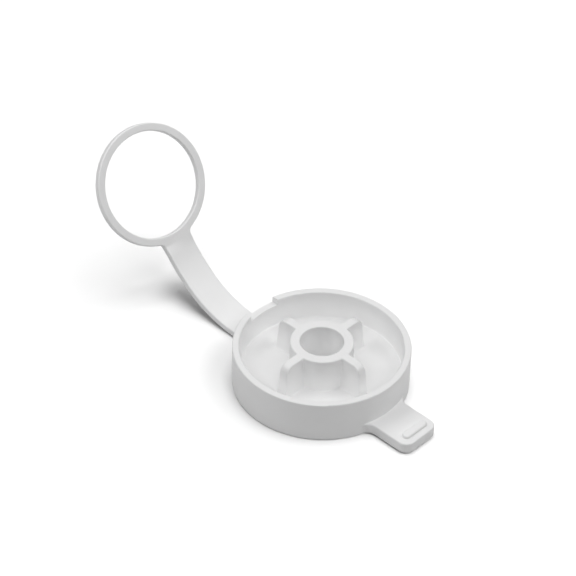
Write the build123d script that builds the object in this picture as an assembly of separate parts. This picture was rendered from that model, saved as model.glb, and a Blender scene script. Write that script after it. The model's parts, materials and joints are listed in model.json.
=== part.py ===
"""Tethered cap of a liquor pour spout: a round cup cap, its pull tab, a flexible strap and the
retaining ring that stays on the bottle's neck. Millimetres, +Z up out of the cap's mouth, +X towards
the pull tab, origin at the centre of the cap's flat underside.

The cap is one moulding. It is built whole, with its moulded radii, and then divided at its feature
boundaries into named solids that meet face to face. The strap is a chain of short links that turn on
flex lines across it, and the ring can also twist about the strap's own line.
"""
from build123d import *
import os
from math import cos, pi, radians, sin, tan

# Cap shell
CAP_RADIUS = 25.0
CAP_HEIGHT = 12.85
FLOOR_THICKNESS = 3.7
WALL_THICKNESS = 2.0
FOOT_RADIUS = 0.6            # rounded lower edge of the cap
LIP_RADIUS = 0.35            # rounded edges of the rim
COVE_RADIUS = 0.5            # inside corner between floor and wall

# Recess in the rim, on the strap's side
NOTCH_WIDTH = 10.6
NOTCH_DEPTH = 1.95

# Spout socket and its gussets
SOCKET_RADIUS = 8.98
SOCKET_BORE_RADIUS = 6.1
SOCKET_TOP = 14.28
SOCKET_CORNER_RADIUS = 0.5   # where the gussets leave the socket
SOCKET_EDGE_RADIUS = 0.4     # top edges, gusset ends and the foot on the floor
BORE_MOUTH_RADIUS = 0.3
GUSSET_COUNT = 4
GUSSET_TOP_THICKNESS = 2.7
GUSSET_FOOT_THICKNESS = 3.5
GUSSET_TOP_REACH = 15.2      # from the cap's axis to the gusset's end, at the top
GUSSET_FOOT_REACH = 16.1
GUSSET_CROWN_RADIUS = 3.0

# Pull tab with its grip ridge
TAB_TIP = 38.1
TAB_WIDTH = 12.9
TAB_UNDERSIDE = 0.4
TAB_CORNER_RADIUS = 2.8
TAB_FLARE_RADIUS = 3.5
TAB_EDGE_RADIUS = 0.4
RIDGE_CENTRE = 35.0
RIDGE_WIDTH = 2.4
RIDGE_LENGTH = 8.8
RIDGE_HEIGHT = 0.8
RIDGE_CROWN_RADIUS = 0.5

# Strap: a fixed root, then links of equal length, each at its own rest slope
STRAP_WIDTH = 9.8
STRAP_THICKNESS = 2.0
STRAP_EDGE_RADIUS = 0.4
STRAP_MID_HEIGHT = 1.25
ROOT_LENGTH = 3.0
ROOT_FLARE_RADIUS = 1.5
LINK_LENGTH = 5.83
LINK_SLOPES = [3.5, 12.0, 22.5, 34.0, 41.5, 49.0]
FLEX_TOP_ANGLE = 15.5        # bevel of each link end above its flex line
FLEX_UNDER_ANGLE = 11.5      # and below it
KNUCKLE_RADIUS = 0.35
KNUCKLE_CLEARANCE = 0.03

# Retaining ring
RING_SLOPE = 59.6
RING_OUTER_RADIUS = 17.9
RING_BORE_RADIUS = 15.55
RING_TWIST = -5.4            # the relaxed strap holds the ring turned a little about the strap's line
RING_SIDE_SET = 3.0          # and a little to one side
NECK_LENGTH = 1.2            # from the twist line to the ring's outer edge
NECK_FILLET_RADIUS = 1.6
TWIST_GAP = 0.05             # between the last link and the neck, which turn on the twist line

HALF_THICKNESS = STRAP_THICKNESS / 2
FAR = 60.0                   # reaches past every feature of the cap
TOLERANCE = 0.001            # when edges and corners are picked by their place
UPWARD = 0.3                 # a face counts as a top face when its normal's z is over this


def save(shape, node):
    """Writes one sub-part's STEP file, under its node's name."""
    shape.label = node
    export_step(shape, f"parts/{node}.step")


def barrel(radius, low, high):
    """A round region about the cap's axis."""
    return Pos(0, 0, (low + high) / 2) * Cylinder(radius, high - low)


def outline_of(faces):
    """The edges round a group of neighbouring faces, without those that two of them share."""
    edges = [edge for face in faces for edge in face.edges()]
    return [edge for edge in edges if sum(edge.is_same(other) for other in edges) == 1]


def near(value, target):
    """Whether two lengths are the same, but for rounding."""
    return abs(value - target) < TOLERANCE


def rises(edge, low, high):
    """Whether an edge runs from one height up to another."""
    box = edge.bounding_box()
    return near(box.min.Z, low) and near(box.max.Z, high)


def level_at(edge, height):
    """Whether an edge lies level at a height."""
    return rises(edge, height, height)


def off_axis(shape):
    """Distance of a shape's middle from the cap's axis."""
    middle = shape.center()
    return Vector(middle.X, middle.Y).length


# The cap, whole ------------------------------------------------------------------------------

def cup():
    """Floor and wall in one turned section, with the foot, lip and cove radii."""
    bore = CAP_RADIUS - WALL_THICKNESS
    outline = make_face(Polyline(
        (0, 0), (CAP_RADIUS, 0), (CAP_RADIUS, CAP_HEIGHT), (bore, CAP_HEIGHT),
        (bore, FLOOR_THICKNESS), (0, FLOOR_THICKNESS), (0, 0),
    ))
    foot = outline.vertices().filter_by(lambda v: near(v.X, CAP_RADIUS) and near(v.Y, 0))
    outline = fillet(foot, FOOT_RADIUS)
    lip = outline.vertices().filter_by(lambda v: near(v.Y, CAP_HEIGHT))
    outline = fillet(lip, LIP_RADIUS)
    cove = outline.vertices().filter_by(lambda v: near(v.X, bore) and near(v.Y, FLOOR_THICKNESS))
    outline = fillet(cove, COVE_RADIUS)
    return revolve(Plane.XZ * outline, Axis.Z)


def gusset(turn):
    """One gusset from the axis outwards: thinner and shorter at its top, its outer corner rounded."""
    top = GUSSET_TOP_THICKNESS / 2
    foot = GUSSET_FOOT_THICKNESS / 2
    across = make_face(Polyline(
        (-foot, FLOOR_THICKNESS), (foot, FLOOR_THICKNESS), (top, SOCKET_TOP), (-top, SOCKET_TOP),
        (-foot, FLOOR_THICKNESS),
    ))
    side = make_face(Polyline(
        (0, FLOOR_THICKNESS), (GUSSET_FOOT_REACH, FLOOR_THICKNESS), (GUSSET_TOP_REACH, SOCKET_TOP),
        (0, SOCKET_TOP), (0, FLOOR_THICKNESS),
    ))
    crown = side.vertices().filter_by(lambda v: near(v.X, GUSSET_TOP_REACH))
    side = fillet(crown, GUSSET_CROWN_RADIUS)
    plate = extrude(Plane.YZ * across, FAR) & extrude(Plane.XZ * side, FAR, both=True)
    return Rot(0, 0, turn) * plate


def socket_star():
    """The socket's post and its gussets, rounded where they meet, at their ends and along the top."""
    star = barrel(SOCKET_RADIUS, FLOOR_THICKNESS, SOCKET_TOP)
    for i in range(GUSSET_COUNT):
        star += gusset(i * 360 / GUSSET_COUNT)
    meeting = [edge for edge in star.edges()
               if rises(edge, FLOOR_THICKNESS, SOCKET_TOP) and near(off_axis(edge), SOCKET_RADIUS)]
    star = fillet(meeting, SOCKET_CORNER_RADIUS)
    skin = star.faces().filter_by(lambda f: f.normal_at().Z > UPWARD or off_axis(f) > GUSSET_TOP_REACH)
    rim = [edge for edge in outline_of(skin) if not level_at(edge, FLOOR_THICKNESS)]
    return fillet(rim, SOCKET_EDGE_RADIUS)


def flat_lug(width, tip, flare_radius, tip_radius, low, high, edge_radius):
    """A tongue lying out from the cap's wall along +X, flared into the wall and rounded at its tip."""
    plan = Circle(CAP_RADIUS) + Pos(tip / 2, 0) * Rectangle(tip, width)
    flare = plan.vertices().filter_by(lambda v: v.X > 0 and near(Vector(v.X, v.Y).length, CAP_RADIUS))
    plan = fillet(flare, flare_radius)
    plan = fillet(plan.vertices().filter_by(lambda v: near(v.X, tip)), tip_radius)
    plate = extrude(Pos(0, 0, low) * plan, high - low)
    level_edges = plate.edges().filter_by(lambda e: level_at(e, low) or level_at(e, high))
    return fillet(level_edges, edge_radius) - barrel(CAP_RADIUS, low, high)


def cap():
    """The whole cap moulding without its grip ridge."""
    body = cup() + socket_star()
    foot = [edge for edge in body.edges()
            if level_at(edge, FLOOR_THICKNESS) and off_axis(edge) < GUSSET_FOOT_REACH + TOLERANCE]
    body = fillet(foot, SOCKET_EDGE_RADIUS)
    body -= barrel(SOCKET_BORE_RADIUS, FLOOR_THICKNESS, FAR)
    mouth = [edge for edge in body.edges()
             if level_at(edge, SOCKET_TOP) and near(edge.length, 2 * pi * SOCKET_BORE_RADIUS)]
    body = fillet(mouth, BORE_MOUTH_RADIUS)
    notch = Box(4 * WALL_THICKNESS, NOTCH_WIDTH, 2 * NOTCH_DEPTH)
    return body - Pos(-CAP_RADIUS, 0, CAP_HEIGHT) * notch


def save_cap():
    """Writes the cap's solids: the moulding cut along its feature boundaries, the tab and its ridge."""
    body = cap()
    inside = CAP_RADIUS - WALL_THICKNESS - COVE_RADIUS
    gusset_start = SOCKET_RADIUS + SOCKET_CORNER_RADIUS
    centre = barrel(gusset_start, FLOOR_THICKNESS, FAR)
    bowl = barrel(inside, FLOOR_THICKNESS, FAR)
    save(body & barrel(CAP_RADIUS, 0, FLOOR_THICKNESS), "cap_floor")
    save(body & (barrel(CAP_RADIUS, FLOOR_THICKNESS, FAR) - bowl), "cap_wall")
    save(body & centre, "spout_socket")
    gussets = (body & (bowl - centre)).solids()
    sides = {"tab_side": Axis.X, "left": Axis.Y, "strap_side": -Axis.X, "right": -Axis.Y}
    for side, axis in sides.items():
        save(gussets.sort_by(axis)[-1], f"gusset_{side}")
    save(flat_lug(TAB_WIDTH, TAB_TIP, TAB_FLARE_RADIUS, TAB_CORNER_RADIUS, TAB_UNDERSIDE,
                  FLOOR_THICKNESS, TAB_EDGE_RADIUS), "pull_tab")
    bar = SlotOverall(RIDGE_LENGTH, RIDGE_WIDTH, 90)
    ridge = extrude(Pos(RIDGE_CENTRE, 0, FLOOR_THICKNESS) * bar, RIDGE_HEIGHT)
    save(fillet(ridge.edges().group_by(Axis.Z)[-1], RIDGE_CROWN_RADIUS), "tab_grip_ridge")


# The strap and the ring ----------------------------------------------------------------------

def along(point, slope):
    """A frame on the strap's middle line: x runs along the strap, y across it, z up through it."""
    angle = radians(slope)
    return Plane(point, x_dir=(-cos(angle), 0, sin(angle)), z_dir=(sin(angle), 0, cos(angle))).location


def flex_points():
    """The strap's middle line: every link's flex line in turn, then the end of the last link."""
    points = [Vector(-CAP_RADIUS - ROOT_LENGTH, 0, STRAP_MID_HEIGHT)]
    for slope in LINK_SLOPES:
        step = Vector(-cos(radians(slope)), 0, sin(radians(slope))) * LINK_LENGTH
        points.append(points[-1] + step)
    return points


def strap_bar(length):
    """A length of the strap from a little before x = 0 to a little past its end, long edges rounded."""
    spare = HALF_THICKNESS
    bar = Pos(length / 2, 0, 0) * Box(length + 2 * spare, STRAP_WIDTH, STRAP_THICKNESS)
    return fillet(bar.edges().filter_by(Axis.X), STRAP_EDGE_RADIUS)


def room_past(angle_above, angle_under):
    """What lies past a flex line at x = 0, between faces set back by an angle above it and under it."""
    size = 2 * STRAP_THICKNESS
    outline = make_face(Polyline(
        (0, 0), (-size * tan(radians(angle_above)), size), (size, size), (size, -size),
        (-size * tan(radians(angle_under)), -size), (0, 0),
    ))
    return extrude(Plane.XZ * outline, STRAP_WIDTH, both=True)


def flex_pin(radius):
    """A round bar on the flex line."""
    return Rot(90, 0, 0) * Cylinder(radius, STRAP_WIDTH)


def flex_end(bend):
    """What the piece before a flex line loses, where the strap's rest shape bends by an angle."""
    return room_past(FLEX_TOP_ANGLE + bend / 2, FLEX_UNDER_ANGLE - bend / 2)


def save_strap():
    """Writes the root, the links and the ring. Each piece ends in a knuckle that the next one turns on."""
    points = flex_points()
    slopes = [0.0] + LINK_SLOPES
    low = STRAP_MID_HEIGHT - HALF_THICKNESS
    root = flat_lug(STRAP_WIDTH, CAP_RADIUS + ROOT_LENGTH + HALF_THICKNESS, ROOT_FLARE_RADIUS,
                    STRAP_EDGE_RADIUS, low, low + STRAP_THICKNESS, STRAP_EDGE_RADIUS)
    root = Rot(0, 0, 180) * root - along(points[0], 0) * flex_end(slopes[1])
    save(root + along(points[0], 0) * flex_pin(KNUCKLE_RADIUS), "strap_root")
    for number in range(1, len(slopes)):
        bend = slopes[number] - slopes[number - 1]
        link = strap_bar(LINK_LENGTH)
        link -= mirror(flex_end(bend), Plane.YZ)
        link -= flex_pin(KNUCKLE_RADIUS + KNUCKLE_CLEARANCE)
        if number < len(LINK_SLOPES):
            next_bend = slopes[number + 1] - slopes[number]
            link -= Pos(LINK_LENGTH, 0, 0) * flex_end(next_bend)
            link += Pos(LINK_LENGTH, 0, 0) * flex_pin(KNUCKLE_RADIUS)
        else:
            turn = RING_SLOPE - slopes[number]
            link -= Pos(LINK_LENGTH, 0, 0) * room_past(turn, -turn)
        save(along(points[number - 1], slopes[number]) * link, f"strap_link_{number}")


def save_ring():
    """Writes the ring and its neck, which is square to the twist line at the end of the last link."""
    centre = NECK_LENGTH + RING_OUTER_RADIUS
    plan = Pos(centre, 0) * Circle(RING_OUTER_RADIUS)
    plan += Pos(NECK_LENGTH, 0) * Rectangle(4 * NECK_LENGTH, STRAP_WIDTH)
    meeting = plan.vertices().filter_by(lambda v: v.X > NECK_LENGTH)
    plan = fillet(meeting, NECK_FILLET_RADIUS)
    plan -= Pos(centre, 0) * Circle(RING_BORE_RADIUS)
    ring = extrude(plan, HALF_THICKNESS, both=True)
    flat_edges = ring.edges().filter_by(lambda e: near(abs(e.center().Z), HALF_THICKNESS))
    ring = fillet(flat_edges, STRAP_EDGE_RADIUS)
    strap_end = along(flex_points()[-1], RING_SLOPE)
    place = strap_end * Rot(RING_TWIST, 0, 0) * Rot(0, 0, RING_SIDE_SET)
    ring = place * ring - strap_end * Pos(TWIST_GAP - FAR / 2, 0, 0) * Box(FAR, FAR, FAR)
    band = place * Pos(centre, 0, 0) * Cylinder(RING_OUTER_RADIUS, FAR)
    save(ring - band, "ring_neck")
    save(ring & band, "retaining_ring")


if __name__ == "__main__":
    os.makedirs("parts", exist_ok=True)
    save_cap()
    save_strap()
    save_ring()
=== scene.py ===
"""Looks of the tethered pour-spout cap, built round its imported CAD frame. Metres, +Z up.

The cap and the ring are the CAD nodes themselves. The strap's root, its links and the ring's neck are
replaced by one smooth strap, in seven pieces that meet half way between flex lines and bend across one
joint each.
"""

import json
from math import cos, hypot, radians, sin, sqrt

import bpy
from mathutils import Matrix, Vector


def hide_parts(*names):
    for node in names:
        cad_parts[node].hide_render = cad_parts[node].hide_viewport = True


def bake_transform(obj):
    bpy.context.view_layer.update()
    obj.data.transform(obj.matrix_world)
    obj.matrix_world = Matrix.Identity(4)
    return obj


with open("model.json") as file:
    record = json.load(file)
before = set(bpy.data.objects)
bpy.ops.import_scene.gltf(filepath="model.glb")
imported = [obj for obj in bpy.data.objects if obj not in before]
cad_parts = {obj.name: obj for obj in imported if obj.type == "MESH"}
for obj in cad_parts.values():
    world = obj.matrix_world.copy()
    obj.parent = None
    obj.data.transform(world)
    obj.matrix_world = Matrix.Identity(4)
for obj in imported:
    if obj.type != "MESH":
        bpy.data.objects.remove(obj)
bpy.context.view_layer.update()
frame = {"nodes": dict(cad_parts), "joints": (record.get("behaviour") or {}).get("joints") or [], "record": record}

JOINTS = {joint["name"]: joint for joint in frame["joints"]}
MOUNTS = {mount["name"]: mount for mount in frame["record"]["mounts"]}
BENDS = [joint for joint in frame["joints"] if joint["name"].startswith("strap_bend_")]

# Camera
CAMERA_AZIMUTH = radians(43.2)
CAMERA_ELEVATION = radians(39.48)
CAMERA_ROLL = radians(1.35)
CAMERA_DISTANCE = 0.6
CAMERA_LENS = 132.94
CAMERA_OFFSET = (0.00919, -0.02577)      # where the cap's origin stands from the middle of the view

# Strap
HALF_WIDTH = 0.0049
THICKNESS = 0.0020
EDGE_RADIUS = 0.0004
WALL_FLARE = 0.0015                      # radius that widens the strap into the cap's wall
CAP_RADIUS = 0.025
ROOT_STRAIGHT = 0.0021                   # straight length before the first bend starts
ROOT_BURIED = 0.00374                    # how far inside the first flex line the strap starts
RING_RADIUS = 0.0179
NECK_LENGTH = 0.0012                     # from the twist line to the ring's outer edge
RING_FLARE = 0.0016                      # radius that widens the strap into the ring

# Strap's mesh
STATIONS = 24                            # cross-sections along each piece
ROUNDING_INSETS = [EDGE_RADIUS * (1 - cos(radians(turn))) for turn in range(0, 91, 15)]
FACE_INSETS = [0.00055, 0.0007, 0.0009, 0.0012, 0.0017, 0.0024, 0.0032, 0.0040]
FLANK_SHARES = (0.2, 0.8)                # where a flank is divided, from top to bottom
BISECTIONS = 40

# Studio: a round lamp is its name, azimuth and elevation in degrees, distance, diameter and watts
FLOOR_REACH = 3.0
CARD_DEPTH = 0.0002                      # the bounce card's depth under the floor that is seen
BOUNCE = 0.55                            # the card's reflectance
AIM = Vector((-0.02, 0.0, 0.01))
PART_SOFTBOXES = (
    ("back", 133, 60, 0.30, 0.25, 0.184),
    ("right", 43, 50, 0.90, 0.60, 2.77),
    ("left", 223, 50, 0.90, 0.60, 2.81),
    ("front", 313, 50, 0.90, 0.60, 2.57),
)
FLOOR_SOFTBOXES = (                      # far off, so the floor stays white to its edge
    ("floor_back", 133, 60, 5.0, 4.2, 54.0),
    ("floor_overhead", 0, 90, 5.0, 2.8, 118.0),
    ("floor_right", 43, 50, 5.0, 3.3, 60.0),
    ("floor_left", 223, 50, 5.0, 3.3, 26.0),
    ("floor_front_right", 358, 50, 5.0, 3.3, 77.0),
)

# Plastic
PALE = 0.92                              # mean reflectance
MOTTLE = 0.012                           # how far the reflectance strays from the mean
MOTTLE_SCALE = 120.0                     # per metre, as is the grain's
GLOSS = (0.36, 0.46)                     # roughness from the smoothest to the roughest
GRAIN_SCALE = 3000.0
GRAIN_HEIGHT = 0.00002
GRAIN_STRENGTH = 0.08


def make_camera():
    """The camera, looking down at the cap from the side of its pull tab."""
    back = Vector((
        sin(CAMERA_AZIMUTH) * cos(CAMERA_ELEVATION),
        -cos(CAMERA_AZIMUTH) * cos(CAMERA_ELEVATION),
        sin(CAMERA_ELEVATION),
    ))
    level = Vector((cos(CAMERA_AZIMUTH), sin(CAMERA_AZIMUTH), 0))
    right = Matrix.Rotation(CAMERA_ROLL, 3, back) @ level
    up = back.cross(right)
    camera = bpy.data.objects.new("camera", bpy.data.cameras.new("camera"))
    camera.matrix_world = Matrix((right, up, back)).transposed().to_4x4()
    camera.location = back * CAMERA_DISTANCE - right * CAMERA_OFFSET[0] - up * CAMERA_OFFSET[1]
    camera.data.lens = CAMERA_LENS
    camera.data.clip_end = 10
    bpy.context.scene.collection.objects.link(camera)
    bpy.context.scene.camera = camera


class Centreline:
    """The strap's middle line past one flex line: straight, then a smooth bend, then straight again.

    Places along it are signed distances from the corner where the two straight lines would meet.
    """

    def __init__(self, corner, before, after, across_before, across_after):
        self.corner = corner
        self.start = (corner - before).normalized()
        self.end = (after - corner).normalized()
        self.arm_in = (corner - before).length
        self.arm_out = (after - corner).length
        self.across_in = across_before
        self.across_out = across_after

    def at(self, place):
        """The middle point, the direction across the strap and the direction up through it."""
        if place <= -self.arm_in:
            share, point, along = 0.0, self.corner + self.start * place, self.start
        elif place >= self.arm_out:
            share, point, along = 1.0, self.corner + self.end * place, self.end
        else:
            share = self.share(place)
            first = self.corner - self.start * self.arm_in
            last = self.corner + self.end * self.arm_out
            point = first * (1 - share) ** 2 + self.corner * (2 * share * (1 - share)) + last * share ** 2
            along = ((self.corner - first) * (1 - share) + (last - self.corner) * share).normalized()
        weight = share * share * (3 - 2 * share)
        across = self.across_in.lerp(self.across_out, weight)
        across = (across - along * across.dot(along)).normalized()
        return point, across, along.cross(across)

    def share(self, place):
        """How far through the bend a place is, from 0 to 1."""
        gain = self.arm_out - self.arm_in
        if abs(gain) < 1e-7:
            return (self.arm_in + place) / (2 * self.arm_in)
        return (sqrt(self.arm_in ** 2 + gain * (self.arm_in + place)) - self.arm_in) / gain


class Outline:
    """The strap seen face on: straight sides, which may flare, and an end that may follow the ring.

    The sides start to flare at flare_from. They widen onwards if flare_way is 1, and backwards if it is -1.
    """

    def __init__(self, flare_from=0.0, flare_radius=0.0, flare_way=0, meets_ring=False):
        self.flare_from = flare_from
        self.flare_radius = flare_radius
        self.flare_way = flare_way
        self.meets_ring = meets_ring

    def into_flare(self, place):
        return max(0.0, (place - self.flare_from) * self.flare_way)

    def half_width(self, place):
        return HALF_WIDTH + self.flare_radius - sqrt(self.flare_radius ** 2 - self.into_flare(place) ** 2)

    def depth(self, place, side):
        """Distance in from the outline."""
        return hypot(self.into_flare(place), abs(side) - HALF_WIDTH - self.flare_radius) - self.flare_radius

    def true_place(self, place, side):
        """Where a point really is: the last cross-sections curve round to follow the ring's edge."""
        if not self.meets_ring or place <= 0:
            return place
        return place * (NECK_LENGTH + RING_RADIUS - sqrt(RING_RADIUS ** 2 - side ** 2)) / NECK_LENGTH

    def edge(self, place):
        """Half the width of a cross-section: where it meets the outline."""
        if not self.meets_ring or place <= 0:
            return self.half_width(place)
        low = HALF_WIDTH
        high = (HALF_WIDTH + RING_FLARE) * RING_RADIUS / (RING_RADIUS + RING_FLARE)
        for _ in range(BISECTIONS):
            middle = (low + high) / 2
            if middle < self.half_width(self.true_place(place, middle)):
                low = middle
            else:
                high = middle
        return high


def flare_distance(radius, flare):
    """Distance from the middle of a round edge to where the strap starts to flare into it."""
    return sqrt((radius + flare) ** 2 - (HALF_WIDTH + flare) ** 2)


def cross_section(line, outline, place):
    """The points round the strap at a place: its top, one flank, its bottom and the other flank."""
    reach = outline.edge(place)
    sides = [reach - inset for inset in ROUNDING_INSETS + FACE_INSETS]
    sides = sides + [0.0] + [-side for side in reversed(sides)]
    top, bottom = [], []
    for side in sides:
        real = outline.true_place(place, side)
        point, across, up = line.at(real)
        inset = max(0.0, EDGE_RADIUS - max(0.0, outline.depth(real, side)))
        height = THICKNESS / 2 - EDGE_RADIUS + sqrt(EDGE_RADIUS ** 2 - inset ** 2)
        top.append(point + across * side + up * height)
        bottom.append(point + across * side - up * height)
    flank_out = [top[-1].lerp(bottom[-1], share) for share in FLANK_SHARES]
    flank_back = [bottom[0].lerp(top[0], share) for share in FLANK_SHARES]
    return top + flank_out + bottom[::-1] + flank_back


def skin(rows, count):
    """Four-sided faces between the cross-sections."""
    faces = []
    for base in range(0, (rows - 1) * count, count):
        for step in range(count):
            following = (step + 1) % count
            faces.append((base + step, base + following, base + count + following, base + count + step))
    return faces


def end_cap(base, wide, flip):
    """Faces that close a cross-section, each from top to bottom. The outer two take in the flanks' points."""
    faces = []
    for step in range(wide - 1):
        face = [base + step, base + step + 1]
        if step == wide - 2:
            face += [base + wide, base + wide + 1]
        face += [base + 2 * wide - step, base + 2 * wide + 1 - step]
        if step == 0:
            face += [base + 2 * wide + 2, base + 2 * wide + 3]
        faces.append(tuple(face if flip else reversed(face)))
    return faces


def strap_piece(name, line, outline, places):
    """A length of strap, smooth along its sides and sharp at its two ends."""
    rows = [cross_section(line, outline, place) for place in places]
    count = len(rows[0])
    wide = count // 2 - len(FLANK_SHARES)
    sides = skin(len(rows), count)
    ends = end_cap(0, wide, True) + end_cap((len(rows) - 1) * count, wide, False)
    mesh = bpy.data.meshes.new(name)
    mesh.from_pydata([tuple(point) for row in rows for point in row], [], sides + ends)
    for number, polygon in enumerate(mesh.polygons):
        polygon.use_smooth = number < len(sides)
    rims = {key for face in mesh.polygons[len(sides):] for key in face.edge_keys}
    for rim in mesh.edges:
        rim.use_edge_sharp = rim.key in rims
    mesh.update()
    piece = bpy.data.objects.new(name, mesh)
    bpy.context.scene.collection.objects.link(piece)
    mesh.validate()
    return piece


def spread(first, last, count):
    return [first + (last - first) * step / count for step in range(count + 1)]


def make_strap(material):
    """The strap from inside the cap's wall to the ring."""
    corners = [Vector(joint["pos_m"]) for joint in BENDS] + [Vector(JOINTS["ring_twist"]["pos_m"])]
    ring_centre = Vector(MOUNTS["retaining_ring"]["pos_m"])
    ring_normal = Vector(MOUNTS["retaining_ring"]["axis"])
    to_ring = (ring_centre - corners[-1]).normalized()
    level = Vector((0, -1, 0))
    ring_across = ring_normal.cross(to_ring)
    middles = [corners[0] + Vector((ROOT_STRAIGHT, 0, 0))]
    middles += [(a + b) / 2 for a, b in zip(corners, corners[1:])]
    middles.append(corners[-1] + to_ring * NECK_LENGTH)
    for number, corner in enumerate(corners):
        last = number == len(corners) - 1
        across = ring_across if last else level
        line = Centreline(corner, middles[number], middles[number + 1], level, across)
        places = spread(-line.arm_in, line.arm_out, STATIONS)
        outline = Outline()
        if number == 0:
            places = spread(-ROOT_BURIED, -line.arm_in, STATIONS // 2)[:-1] + places
            outline = Outline(corner.x + flare_distance(CAP_RADIUS, WALL_FLARE), WALL_FLARE, -1)
        if last:
            places = spread(-line.arm_in, 0, STATIONS)[:-1] + spread(0, line.arm_out, STATIONS)
            flare_from = RING_RADIUS + NECK_LENGTH - flare_distance(RING_RADIUS, RING_FLARE)
            outline = Outline(flare_from, RING_FLARE, 1, meets_ring=True)
        name = "strap_neck" if last else f"strap_{number + 1}"
        piece = strap_piece(name, line, outline, places)
        piece.data.materials.append(material)
        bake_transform(piece)
    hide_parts("strap_root", "strap_link_1")
    for number in range(1, 6):
        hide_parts(f"strap_link_{number + 1}")
    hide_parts("ring_neck")


def make_sheet(name, height, reflectance):
    """A plain matt sheet, wide enough for every view."""
    corners = [(x * FLOOR_REACH, y * FLOOR_REACH, height) for x, y in ((-1, -1), (1, -1), (1, 1), (-1, 1))]
    mesh = bpy.data.meshes.new(name)
    mesh.from_pydata(corners, [], [(0, 1, 2, 3)])
    material = bpy.data.materials.new(name)
    material.use_nodes = True
    nodes = material.node_tree.nodes
    nodes.clear()
    matt = nodes.new("ShaderNodeBsdfDiffuse")
    matt.inputs["Color"].default_value = (reflectance, reflectance, reflectance, 1.0)
    output = nodes.new("ShaderNodeOutputMaterial")
    material.node_tree.links.new(matt.outputs["BSDF"], output.inputs["Surface"])
    mesh.materials.append(material)
    sheet = bpy.data.objects.new(name, mesh)
    bpy.context.scene.collection.objects.link(sheet)
    return sheet


def make_floor():
    """The white sheet that is seen, and a greyer one just under it that lights the part from below."""
    floor = make_sheet("floor", 0.0, 1.0)
    floor.visible_diffuse = False
    floor.visible_shadow = False
    card = make_sheet("bounce_card", -CARD_DEPTH, BOUNCE)
    card.visible_camera = False
    card.visible_glossy = False
    return floor


def make_softbox(name, azimuth, elevation, distance, size, power):
    """A round soft lamp aimed at the part. Its azimuth is from +X towards +Y."""
    turn, rise = radians(azimuth), radians(elevation)
    towards = Vector((cos(rise) * cos(turn), cos(rise) * sin(turn), sin(rise)))
    data = bpy.data.lights.new(name, "AREA")
    data.shape = "DISK"
    data.size = size
    data.energy = power
    lamp = bpy.data.objects.new(name, data)
    lamp.location = AIM + towards * distance
    lamp.rotation_mode = "QUATERNION"
    lamp.rotation_quaternion = towards.to_track_quat("Z", "Y")
    bpy.context.scene.collection.objects.link(lamp)
    return lamp


def make_light(floor):
    """Soft lamps for all but the floor that is seen, and others for that floor alone, in a dark room."""
    for boxes, state in ((PART_SOFTBOXES, "EXCLUDE"), (FLOOR_SOFTBOXES, "INCLUDE")):
        lit = bpy.data.collections.new("floor_" + state.lower())
        lit.objects.link(floor)
        lit.collection_objects[0].light_linking.link_state = state
        for box in boxes:
            make_softbox(*box).light_linking.receiver_collection = lit
    world = bpy.data.worlds.new("studio")
    world.use_nodes = True
    world.node_tree.nodes["Background"].inputs["Strength"].default_value = 0.0
    bpy.context.scene.world = world


def plastic():
    """White polyethylene, a little uneven in tone and gloss, with a very fine grain."""
    material = bpy.data.materials.new("moulded_plastic")
    material.use_nodes = True
    nodes = material.node_tree.nodes
    links = material.node_tree.links
    shader = nodes["Principled BSDF"]
    place = nodes.new("ShaderNodeTexCoord")
    mottle = nodes.new("ShaderNodeTexNoise")
    mottle.inputs["Scale"].default_value = MOTTLE_SCALE
    mottle.inputs["Detail"].default_value = 3.0
    tone = nodes.new("ShaderNodeValToRGB")
    for stop, position, grey in zip(tone.color_ramp.elements, (0.3, 0.7), (PALE - MOTTLE, PALE + MOTTLE)):
        stop.position = position
        stop.color = (grey, grey, grey, 1.0)
    gloss = nodes.new("ShaderNodeMapRange")
    gloss.inputs["To Min"].default_value, gloss.inputs["To Max"].default_value = GLOSS
    grain = nodes.new("ShaderNodeTexNoise")
    grain.inputs["Scale"].default_value = GRAIN_SCALE
    bump = nodes.new("ShaderNodeBump")
    bump.inputs["Strength"].default_value = GRAIN_STRENGTH
    bump.inputs["Distance"].default_value = GRAIN_HEIGHT
    links.new(place.outputs["Object"], mottle.inputs["Vector"])
    links.new(place.outputs["Object"], grain.inputs["Vector"])
    links.new(mottle.outputs["Fac"], tone.inputs["Fac"])
    links.new(mottle.outputs["Fac"], gloss.inputs["Value"])
    links.new(grain.outputs["Fac"], bump.inputs["Height"])
    links.new(tone.outputs["Color"], shader.inputs["Base Color"])
    links.new(gloss.outputs["Result"], shader.inputs["Roughness"])
    links.new(bump.outputs["Normal"], shader.inputs["Normal"])
    return material


make_camera()
make_light(make_floor())
white = plastic()
for node in frame["nodes"].values():
    node.data.materials[0] = white
make_strap(white)
bpy.context.scene.view_settings.view_transform = "Standard"
